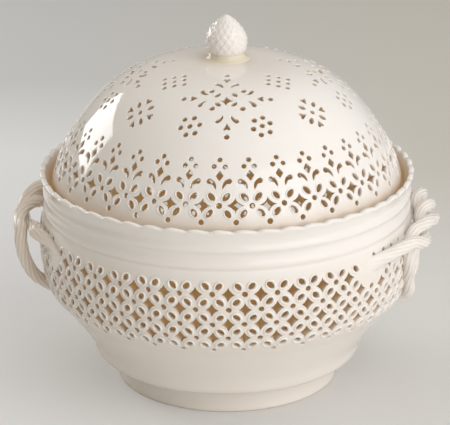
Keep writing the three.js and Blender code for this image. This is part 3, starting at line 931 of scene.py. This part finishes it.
# The rim's inner face and the ledge are painted shade, deeper towards the ledge.
rim = [(r, h, 0.0 if r > RIM_CREST else min(0.8, (130 - h) * 0.1)) for r, h in rim]
ledge = [
    (104.0, 119.9, INSIDE_SHADE), (103.4, 119.5, INSIDE_SHADE), (99.8, 119.5, 0.8), (99.1, 119.1, 0.7), (99.0, 118.2, 0.7),
    (99.0, 115.4, 0.6), (99.5, 114.6, 0.7), (101.2, 113.2, 0.8), (103.1, 110.2, INSIDE_SHADE), (104.0, 107.2, INSIDE_SHADE),
]
_, last = clay.turn(bowl_columns, neck, out_high)
_, last = clay.turn(bowl_columns, rim, last, scalloped)
_, last = clay.turn(bowl_columns, ledge, last)
clay.strip(last, in_high)

# The inside of the bowl is painted shade.
inner_lengths = np.linspace(low, 15, 12)[1:]
inner_wall = on_wall(bowl, np.zeros(len(inner_lengths)), inner_lengths, -BOWL_WALL)
inside = [(-p[1], p[2], INSIDE_SHADE) for p in inner_wall if p[2] > 20.5]
floor_rings = [(70, 19.4, INSIDE_SHADE), (62, 18.8, INSIDE_SHADE), (35, FLOOR_HEIGHT, INSIDE_SHADE), (4, FLOOR_HEIGHT, INSIDE_SHADE)]
_, last = clay.turn(bowl_columns, inside + floor_rings, in_low)
clay.cap(last, (0, 0, FLOOR_HEIGHT), INSIDE_SHADE)
clay.fire("basket_wall", "basket", "basket_body", cream_glaze)

# %% [markdown]
# ## The lid
#
# The dome is the same work on a closed shape: a skirt, a border of stars like the bowl's, a row of
# palmettes, and on the crown four crosses with rosettes, daisies and squares of round holes between them.

# %% Lid section
LID_RADIUS = 103.0
SEAT = 119.8
DOME_FOOT = 125.1
DOME_HEIGHT = 72.8
LID_WALL = 4.0


def dome_point(share):
    """Radius and height of the dome, from 0 at its foot to 1 at the crown."""
    turn = share * math.pi / 2
    climb = math.sin(turn)
    return LID_RADIUS * math.cos(turn) ** 0.677, DOME_FOOT + DOME_HEIGHT * climb**1.73 - 2.4 * climb**10


dome_shares = 1 - (1 - np.linspace(0, 1, 260)) ** 1.5
dome = [dome_point(share) for share in dome_shares[:-1]]
CROWN_HEIGHT = dome_point(1)[1]
lid = Outline([(LID_RADIUS - 0.02, SEAT + 0.9)] + dome + [(0, CROWN_HEIGHT)])
print("the lid's wall is", round(lid.length), "mm from edge to crown")

# %% [markdown]
# The border is laid out by cells round the lid, and each of its rows lies a length down from the crown.
# Every cell has a star, and between two stars stands a palmette: commas, a lozenge and round holes.

# %% Border cuts
BORDER_CELLS = 33
BORDER_HALF_CELL = 180 / BORDER_CELLS
BORDER_PHASE = 11.2


def border_cuts():
    star_row, pendant_row = lid.length - 120.9, lid.length - 130.2
    low_petals, high_petals = lid.length - 125.3, lid.length - 116.1
    commas, lozenges = lid.length - 107.2, lid.length - 104.1
    pair, top = lid.length - 98.8, lid.length - 95.0
    for cell in range(BORDER_CELLS):
        star_at = BORDER_PHASE + 2 * cell * BORDER_HALF_CELL
        hole_at = star_at + BORDER_HALF_CELL
        yield nudged(lid_star, star_at, star_row, 0, lid, edge=0.7, lip=0.1)
        yield nudged(round_hole, hole_at, star_row, 0, lid, edge=0.7)
        yield nudged(round_hole, star_at, pendant_row, 0, lid, edge=0.7)
        for side_sign in (-1, 1):
            low_at, high_at = hole_at - side_sign * 2.95, hole_at - side_sign * 2.4
            yield nudged(petal, low_at, low_petals, side_sign * 52, lid, edge=1.3, lip=0.4)
            yield nudged(petal, high_at, high_petals, -side_sign * 50, lid, edge=1.3, lip=0.4)
            head = math.degrees(side_sign * 5.5 / lid.at(commas)[0])
            curl = comma if side_sign > 0 else comma.mirrored()
            yield nudged(curl, hole_at + head, commas, 0, lid, edge=0.6, lip=0.1)
            beside = math.degrees(side_sign * 3.0 / lid.at(pair)[0])
            yield nudged(round_hole, hole_at + beside, pair, 0, lid, 0.9, edge=0.55)
        yield nudged(lozenge, hole_at, lozenges, 0, lid, edge=0.55)
        yield nudged(round_hole, hole_at, top, 0, lid, 0.9, edge=0.55)


lid_cuts = list(border_cuts())
print(len(lid_cuts), "cuts in the border")

# %% [markdown]
# A motif on the crown is laid out as on a flat plate, seen from above, and every hole is then carried down
# to the dome. Four crosses stand a quarter turn apart, and their side arms lean a little towards the crown.

# %% Crown cuts
CROSS_AZIMUTH = 8.1
ARM_LEAN = math.radians(7.5)
ARM_SHIFT = -1.2
# The punches of an arm: how far aside, how far out from the middle of the cross, turn and size
ARM = [
    (arm_comma, -5.6, 15.0, 180, 0.92), (arm_comma.mirrored(), 5.6, 15.0, 180, 0.92),
    (heart, 0, 19.2, 180, 0.92), (round_hole, 0, 25.2, 0, 0.95),
]


def stamped(punch, azimuth, across, out, turn, size, **edge):
    """A cut of the flat plate, at its place on the dome. Out is counted from the crown along the azimuth."""
    turned = math.degrees(math.atan2(across, out))
    walked = lid.length - math.hypot(across, out)
    return nudged(punch, azimuth + turned, walked, turn - turned, lid, size, **edge)


def cross_cuts(azimuth, middle=56.2):
    """A star with petals and round holes round it, and four arms of two commas, a heart and a round hole."""
    yield stamped(lid_star, azimuth, 0, middle, 0, 0.9, edge=0.65, lip=0.08)
    for x in (-1, 1):
        for y in (-1, 1):
            petal_out = middle - 0.9 + y * 3.9
            yield stamped(petal, azimuth, x * 4.9, petal_out, x * y * 45, 0.84, edge=0.65, lip=0.1)
            yield stamped(round_hole, azimuth, x * 9.0 + 0.9, middle - 1.4 + y * 7.2, 0, 0.95, edge=0.6)
    for arm, lean in enumerate((0, ARM_LEAN, 0, -ARM_LEAN)):
        heading = math.radians(90 * arm) + lean
        cos, sin = math.cos(heading), math.sin(heading)
        shift_out = ARM_SHIFT if arm % 2 else 0
        for punch, aside, reach, turn, size in ARM:
            across = reach * sin + aside * cos + 0.6
            out = reach * cos - aside * sin + shift_out
            yield stamped(punch, azimuth, across, middle + out, turn + math.degrees(heading), size, edge=0.55)


def rosette_cuts(azimuth, side_sign, across=21.4, out=72.2):
    """Six round holes round a seventh."""
    yield stamped(round_hole, azimuth, side_sign * across, out, 0, 0.95, edge=0.65)
    for k in range(6):
        turn = math.radians(60 * k + (30 if side_sign < 0 else 0))
        x, y = 5.6 * math.sin(turn), 5.6 * math.cos(turn)
        yield stamped(round_hole, azimuth, side_sign * across + x, out + y, 0, 0.95, edge=0.65)


def daisy_cuts(azimuth, across=51.4, out=51.4):
    """Petals and hearts by turns round a round hole."""
    yield stamped(round_hole, azimuth, across, out, 0, 0.9, edge=0.6)
    for k in range(8):
        turn = math.radians(45 * k)
        reach = 8.2 if k % 2 else 6.7
        x, y = across + reach * math.sin(turn), out + reach * math.cos(turn)
        if k % 2:
            yield stamped(heart, azimuth, x, y, 180 + 45 * k, 0.95, edge=0.5)
        else:
            yield stamped(petal, azimuth, x, y, 90 + 45 * k, 0.92, edge=0.55)


def square_cuts(azimuth, side_sign):
    """Nine round holes in a square that keeps the cross's directions."""
    for column in (-1, 0, 1):
        for row in (-1, 0, 1):
            across = side_sign * 29.8 + 5.7 * column
            yield stamped(round_hole, azimuth, across, 32.9 + 4.9 * row, 0, 0.85, edge=0.55)


for quarter in range(4):
    axis = CROSS_AZIMUTH + 90 * quarter
    lid_cuts += cross_cuts(axis)
    for side_sign in (-1, 1):
        lid_cuts += rosette_cuts(axis, side_sign)
    lid_cuts += daisy_cuts(axis)
for axis in (CROSS_AZIMUTH, CROSS_AZIMUTH + 180):
    for side_sign in (-1, 1):
        lid_cuts += square_cuts(axis, side_sign)
print(len(lid_cuts), "cuts in the lid")

# %% [markdown]
# The lid is one skin too: the skirt, the pierced dome, the closed crown, and the same way back on the
# inside.

# %% Lid
LID_COLUMNS = 288
LID_GRAIN = 3.2
BORDER_FOOT = 127.2
CROWN_RADIUS = 19.0

clay = Clay()
lid_columns = np.arange(LID_COLUMNS) * 360 / LID_COLUMNS
low, high = lid.at_height(BORDER_FOOT), lid.at_radius(CROWN_RADIUS)
out_low, out_high, in_low, in_high = pierce(
    clay, lid, lid_columns, low, high, lid_cuts, LID_WALL, LID_GRAIN, hub=lid.length + 0.5, gap=0.35,
    # A little warmer towards the crown; at the skirt, glaze pooling with painted shade.
    tint=lambda walked: 0.16 * np.clip((walked - lid.length + 60) / 40, 0, 1)
    + 0.4 * np.clip((low + 8 - walked) / 8, 0, 1),
)

# The skirt's underside is painted shade, and its outside pooling with painted shade.
skirt = [(94.2, SEAT, 0.6), (98.0, SEAT, 0.6), (102.2, SEAT, 0.4), (102.8, 120.05, 0.2)]
skirt += [(LID_RADIUS, 120.7, 0.05)] + section_of(lid, 0.6, low, 1.5, 0.42)
foot_of_skirt, last = clay.turn(lid_columns, skirt)
clay.strip(last, out_low)
crown = section_of(lid, high, lid.length - 1.0, 3.0, 0.24)[1:]
_, last = clay.turn(lid_columns, crown, out_high)
clay.cap(last, (0, 0, CROWN_HEIGHT))

# The inside of the lid is painted shade.
inner_crown = [(radius, height - LID_WALL, INSIDE_SHADE) for radius, height, _ in reversed(crown)]
first, last = clay.turn(lid_columns, inner_crown)
clay.cap(first, (0, 0, CROWN_HEIGHT - LID_WALL), INSIDE_SHADE, outward=False)
clay.strip(last, in_high)
inner_foot = [(98.6, 125.2, INSIDE_SHADE), (96.0, 123.9, 0.8), (94.4, 122.6, 0.7), (94.2, 121.5, 0.6)]
_, last = clay.turn(lid_columns, inner_foot, in_low)
clay.strip(last, foot_of_skirt)
clay.fire("lid_wall", "lid", "lid_dome", cream_glaze)

# %% [markdown]
# ## Plain turned pieces
#
# The foot ring, the lid's locating flange and the stalk are plain turned shapes. Each starts as a circle
# and is pulled up ring by ring: extrude, lift, scale. That is the way a thrower raises a wall.

# %% Foot ring, flange and stalk
POLE_RADIUS = 0.01


def thrown(name, section, segments, body, replaced, finish, pooled_and_shaded):
    """A turned piece pulled up from a circle. Its section is (radius, height), and may close on itself or on
    the axis."""
    bpy.ops.object.select_all(action="DESELECT")
    radius, height = section[0]
    bpy.ops.mesh.primitive_circle_add(vertices=segments, radius=radius * MM, location=(0, 0, height * MM))
    piece = bpy.context.object
    piece.name = name
    bpy.ops.object.transform_apply(location=True, rotation=True, scale=True)
    bpy.ops.object.mode_set(mode="EDIT")
    bpy.ops.mesh.select_all(action="SELECT")
    for next_radius, next_height in section[1:]:
        next_radius = max(next_radius, POLE_RADIUS)
        share = next_radius / radius
        lift = (0, 0, (next_height - height) * MM)
        bpy.ops.mesh.extrude_region_move(TRANSFORM_OT_translate={"value": lift})
        bpy.ops.transform.resize(value=(share, share, 1), center_override=(0, 0, next_height * MM))
        radius, height = next_radius, next_height
    bpy.ops.mesh.select_all(action="SELECT")
    bpy.ops.mesh.remove_doubles(threshold=0.02 * MM)
    bpy.ops.mesh.normals_make_consistent(inside=False)
    bpy.ops.mesh.faces_shade_smooth()
    bpy.ops.object.mode_set(mode="OBJECT")
    pooling_and_shade = piece.data.attributes.new("pooling_and_shade", "FLOAT", "POINT")
    heights = [pooled_and_shaded(v.co.z / MM, math.hypot(v.co.x, v.co.y) / MM) for v in piece.data.vertices]
    pooling_and_shade.data.foreach_set("value", heights)
    hand_over(piece, body, replaced, finish)


foot_section = [
    (60.3, 1.2), (60.6, 0.35), (61.4, 0.0), (65.2, 0.0), (66.1, 0.4), (66.5, 1.4), (66.3, 3.4), (66.2, 6.0),
    (66.4, 8.6), (66.9, 11.0), (67.7, 13.0), (68.3, 14.1), (68.3, 14.55), (62.3, 14.55), (60.9, 13.4),
    (60.3, 11.5), (60.3, 1.2),
]
# The foot's inner face is painted shade; its top and bottom edges carry pooling with painted shade, and its
# outer face is a little warmer.
thrown("foot_turning", foot_section, 160, "basket", "foot_ring", cream_glaze,
       lambda h, r: 0.55 if r < 61 else (0.28 if h > 13.4 or h < 0.6 else 0.12))
flange_section = [
    (94.0, 119.6), (94.0, 113.2), (94.5, 112.6), (96.6, 112.5), (97.6, 113.0), (98.0, 114.0), (98.2, 119.6),
    (94.0, 119.6),
]
thrown("flange_turning", flange_section, 160, "lid", "lid_flange", warm_glaze, lambda h, r: 0.3)
stalk_section = [
    (POLE_RADIUS, 194.2), (15.2, 194.5), (14.6, 195.1), (13.4, 195.55), (12.2, 196.1), (11.4, 196.8),
    (11.0, 197.6), (10.7, 198.5), (10.2, 199.4), (0, 199.6),
]
thrown("stalk_turning", stalk_section, 96, "lid", "knop_stalk", warm_glaze,
       lambda h, r: min(0.5, max(0, (15.3 - r) * 0.16)))

# %% [markdown]
# ## The knop
#
# The knop is a small cone covered with overlapping scales, as on a bud. It was pressed in a mould, so the
# scales are soft and low. Each point of a fine cone asks which scale covers it: the lowest one whose
# rounded tip reaches that high. The scale stands out most at its tip, where it ends in a small step down to
# the next row.

# %% Knop
KNOP_BASE = 198.7
KNOP_HEIGHT = 22.8
KNOP_RINGS = 100
KNOP_COLUMNS = 144
SCALE_ROWS = 9
SCALES_ROUND = 16
SCALE_DEPTH = 0.5
bud = smooth_line([
    (10.2, 0), (11.2, 1.5), (12.0, 4.0), (12.3, 6.6), (12.1, 9.4), (11.1, 12.2), (9.0, 15.5), (5.9, 19.1),
    (3.3, 21.2), (1.2, 22.5), (0.05, KNOP_HEIGHT),
])
bud_outline = Outline(bud)


def scale_relief(angle, row_share):
    """How far a scale stands out, from 0 at its root to 1 at its tip."""
    for row in range(int(row_share) - 2, int(row_share) + 2):
        across = ((angle / 360) * SCALES_ROUND + 0.5 * (row % 2)) % 1 * 2 - 1
        tip = row + 1.25 - 0.75 * across**2
        if row_share <= tip:
            return max(0.0, 1 - (tip - row_share) / 1.25) * (1 - 0.35 * across**2)
    return 0.0


clay = Clay()
knop_columns = np.arange(KNOP_COLUMNS) * 360 / KNOP_COLUMNS
rings = []
for step in range(KNOP_RINGS):
    share = step / KNOP_RINGS
    base_radius, height = bud_outline.at(bud_outline.length * share)
    height += KNOP_BASE
    fade = min(1, (1 - share) * 4) * min(1, share * 12 + 0.2)
    relief = np.array([scale_relief(a, share * SCALE_ROWS) for a in knop_columns]) * fade
    radius = base_radius + SCALE_DEPTH * (relief - 0.6) * fade
    pooling_and_shade = 0.2 * max(0, 1 - share * 9) + 0.05 * (1 - relief)
    rings.append(clay.add(swung(knop_columns, radius, height), pooling_and_shade))
    if len(rings) > 1:
        clay.strip(rings[-2], rings[-1])
clay.cap(rings[-1], (0, 0, KNOP_BASE + KNOP_HEIGHT))
clay.cap(rings[0], (0, 0, KNOP_BASE), 0.4, outward=False)
clay.fire("knop_bud", "lid", "knop", cream_glaze)

# %% [markdown]
# ## The handles
#
# Each handle is two reeded straps wound round each other. A strap was pressed through a die with grooves,
# which gives it nine soft ribs. Here a ribbed section is carried along the strap's route. The frame that
# carries it is turned as little as possible from step to step, so that the ribs run along the strap and
# wind only a little. Near its upper end the strap widens and lies down on the wall. Front and rear are
# those of the right handle: the left one is turned half round.

# %% Strap routes
TERMINAL_HEIGHT = 94.0
TERMINAL_ANGLE = 33.5
ROPE_HEIGHT = 98.6
TWIST_RADIUS = 3.95
FRONT_FALL = 3.2


def rope(angle, lead, rope_radius, outer_spots, fall):
    """A point of one strap in the rope. At the outer spots the straps take turns to lie outside. The fall is
    how far the rope draws in towards its rear end."""
    ends = [2 * outer_spots[0] - outer_spots[1], *outer_spots, 2 * outer_spots[-1] - outer_spots[-2]]
    turn = lead - np.interp(angle, ends, math.pi * (np.arange(len(ends)) - 1))
    draw_in = (FRONT_FALL if angle < 0 else fall) * (angle / 25) ** 2
    radius = rope_radius - draw_in + TWIST_RADIUS * math.cos(turn)
    return (angle, radius, ROPE_HEIGHT + TWIST_RADIUS * math.sin(turn))


def front_strap(r, low_end, outer_spots, fall):
    """From the front end over the rope and down the outside to the rear low end."""
    low_wall = side_radius(low_end)
    high_wall = side_radius(TERMINAL_HEIGHT)
    return [
        (-TERMINAL_ANGLE - 5.0, high_wall - 2.4, TERMINAL_HEIGHT - 1.2),
        (-TERMINAL_ANGLE - 2.2, high_wall - 1.9, TERMINAL_HEIGHT - 0.2),
        (-TERMINAL_ANGLE + 0.6, high_wall - 1.1, TERMINAL_HEIGHT + 1.0),
        (-TERMINAL_ANGLE + 3.4, high_wall + 0.6, TERMINAL_HEIGHT + 2.5),
        (-TERMINAL_ANGLE + 6.0, high_wall + 3.2, TERMINAL_HEIGHT + 4.2),
        (-23.0, r - 1.8, 99.8),
        (-19.0, r + 1.0, 100.8),
        *[rope(a, 0, r, outer_spots, fall) for a in np.linspace(-14, 18.5, 9)],
        (19.8, r + 2.5, 91),
        (17.5, r + 0.2, 79),
        (14, r - 5.4, low_end + 14),
        (10.5, low_wall + 6.8, low_end + 5),
        (8.4, low_wall + 1.0, low_end + 1),
        (7.6, low_wall - 1.6, low_end - 0.6),
    ]


def rear_strap(r, low_end, outer_spots, fall, leave):
    """From the front low end up inside the other strap and over the rope to the rear end. Where it leaves the
    rope, it may swing out once more."""
    low_wall = side_radius(low_end)
    high_wall = side_radius(TERMINAL_HEIGHT)
    return [
        (-4.6, low_wall - 1.6, low_end - 0.6),
        (-5.4, low_wall + 1.0, low_end + 1),
        (-7, low_wall + 6.0, low_end + 4.5),
        (-10.5, r - 7.0, low_end + 16),
        (-13.6, r - 4.9, 82),
        (-14.8, r - 4.6, 92),
        *[rope(a, math.pi, r, outer_spots, fall) for a in np.linspace(-11.5, 21, 9)],
        *leave,
        (TERMINAL_ANGLE - 3.4, high_wall + 0.9, TERMINAL_HEIGHT + 4.0),
        (TERMINAL_ANGLE - 0.6, high_wall - 0.8, TERMINAL_HEIGHT + 2.4),
        (TERMINAL_ANGLE + 2.2, high_wall - 1.8, TERMINAL_HEIGHT + 1.0),
        (TERMINAL_ANGLE + 5.0, high_wall - 2.4, TERMINAL_HEIGHT - 0.2),
    ]


# %% [markdown]
# The ribbed section is laid along a route in even steps. A strap has one end of each kind: the upper one is
# pressed flat on the wall, and the low one only swells a little where it is stuck on.

# %% Straps
STRAP_RADIUS = 3.8
STRAP_STEPS = 150
RIBS = 9
RIB_DEPTH = 0.55
RIB_LEAD = 95.0
SECTION_POINTS = 72
# Millimetres over which the ribs fade and the strap changes, and how much it widens and thins
FLAT_END = (28, 24, 0.7, 0.7)
LOW_END = (5, 13, 0.3, -0.15)


def lay_strap(name, route, middle, first_end, last_end, pooling_and_shade, replaced):
    """A ribbed strap along its route. The middle is the azimuth of the handle."""
    corners = np.array([swung(middle + a, r, h) for a, r, h in route])
    line = smooth_line(corners, 9)
    walked = lengths_along(line)
    even = np.linspace(0, walked[-1], STRAP_STEPS)
    line = np.stack([np.interp(even, walked, line[:, k]) for k in range(3)], axis=1)
    heading = np.gradient(line, axis=0)
    heading /= np.linalg.norm(heading, axis=1)[:, None]
    outward = line * [1, 1, 0]
    side_way = np.cross(heading[0], outward[0])
    turn = np.arange(SECTION_POINTS) * 2 * np.pi / SECTION_POINTS
    clay = Clay()
    before = None
    for k, (point, ahead) in enumerate(zip(line, heading)):
        side_way = side_way - ahead * side_way.dot(ahead)
        side_way /= np.linalg.norm(side_way)
        lift_way = np.cross(ahead, side_way)
        wind = 2 * math.pi * even[k] / RIB_LEAD
        groove = 1 - abs(np.sin(RIBS * (turn - wind) / 2)) ** 0.6
        fade, spread, thin = 1.0, 1.0, 1.0
        for gap, end in ((even[k], first_end), (even[-1] - even[k], last_end)):
            rib_reach, reach, wider, thinner = end
            fade = min(fade, gap / rib_reach)
            near = max(0, 1 - gap / reach) ** 1.2
            spread += near * wider
            thin -= near * thinner
        fade **= 1.5
        radius = STRAP_RADIUS - RIB_DEPTH * groove * fade
        aside = np.outer(radius * np.cos(turn) * spread, side_way)
        lifted = np.outer(radius * np.sin(turn) * thin, lift_way)
        # Honey in the grooves: glaze pooling with painted shade.
        ring = clay.add(point + aside + lifted, pooling_and_shade + (0.36 + pooling_and_shade) * groove * fade)
        if before is not None:
            clay.strip(before, ring)
        else:
            clay.cap(ring, point, 0.2, outward=False)
        before = ring
    clay.cap(before, line[-1], 0.2)
    clay.fire(name, "basket", replaced, cream_glaze)


# Side, azimuth, radius of the rope, height of the low ends, outer spots, fall, where the rear strap leaves
# the rope, and pooling with painted shade, more on the left handle, which stands in shade
HANDLES = [
    ("right", 90, 118.5, 57, (-15, 4.5, 15, 23.5), 0.9, [(23.8, 121.8, 98.4), (27.2, 117.8, 97.8)], 0.02),
    ("left", 270, 120.7, 51.5, (-18, -4, 18), 3.2, [(25.0, 116.0, 100.4)], 0.17),
]
for hand_side, middle, rope_radius, low_end, outer_spots, fall, leave, pooling_and_shade in HANDLES:
    front = front_strap(rope_radius, low_end, outer_spots, fall)
    rear = rear_strap(rope_radius, low_end, outer_spots, fall, leave)
    front_node = f"handle_{hand_side}_strand_a"
    rear_node = f"handle_{hand_side}_strand_b"
    lay_strap(f"{hand_side}_front_strap", front, middle, FLAT_END, LOW_END, pooling_and_shade, front_node)
    lay_strap(f"{hand_side}_rear_strap", rear, middle, LOW_END, FLAT_END, pooling_and_shade, rear_node)

# %% [markdown]
# ## Done
#
# Every piece rides on a body of the frame: hand_over has put it there.

# %% Done
print("all pieces made")
